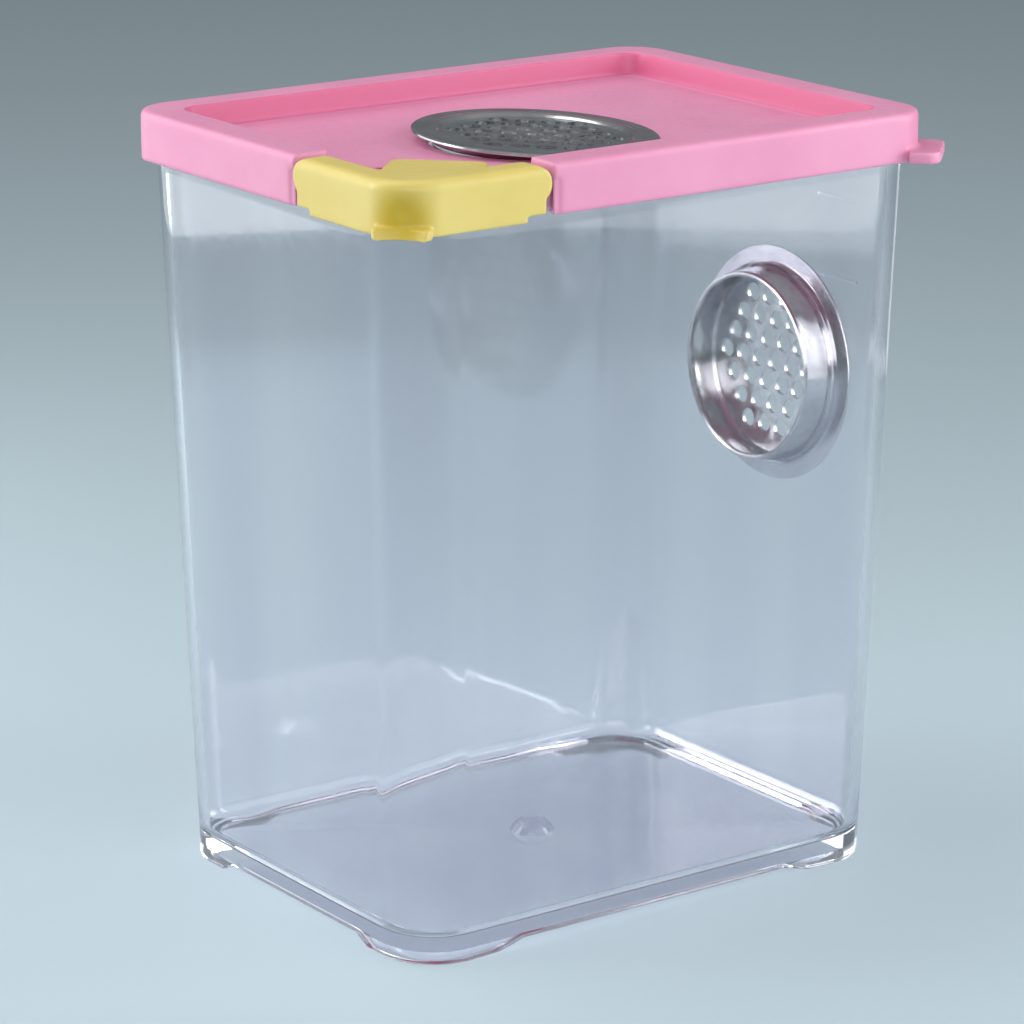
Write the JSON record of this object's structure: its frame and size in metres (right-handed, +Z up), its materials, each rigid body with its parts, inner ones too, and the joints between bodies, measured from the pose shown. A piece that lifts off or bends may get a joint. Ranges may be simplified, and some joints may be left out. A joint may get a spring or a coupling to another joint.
{
  "type": "queen cage",
  "caption": "Clear ventilated box for holding a queen bee, with a pink push-on lid, a flip-up corner hatch and pressed steel vents in the lid and in an end wall.",
  "frame": {"origin": "centre of the tub's base on the plane that its feet rest on", "axes": "+Z up, +X along the length towards the vented end wall, -Y towards the long front wall"},
  "size_m": [0.1162, 0.0869, 0.1326],
  "materials": {
    "clear_plastic": "clear, slightly violet where thick",
    "pink_plastic": "satin moulded polypropylene",
    "yellow_plastic": "satin moulded polypropylene",
    "pressed_steel": "bright pressed stainless"
  },
  "bodies": {
    "tub": {"tub": "clear_plastic", "side_vent": "pressed_steel"},
    "lid": {"lid": "pink_plastic", "lid_vent": "pressed_steel"},
    "pour_hatch": {"pour_hatch": "yellow_plastic"}
  },
  "joints": [
    {"name": "lid_lift", "type": "slide", "parent": "tub", "child": "lid", "axis": [0, 0, 1], "range_m": [0, 0.05]},
    {"name": "hatch_flip", "type": "hinge", "parent": "lid", "child": "pour_hatch", "pos_m": [-0.03125, -0.01775, 0.1272], "axis": [-0.7071, 0.7071, 0], "range_deg": [0, 100]}
  ]
}
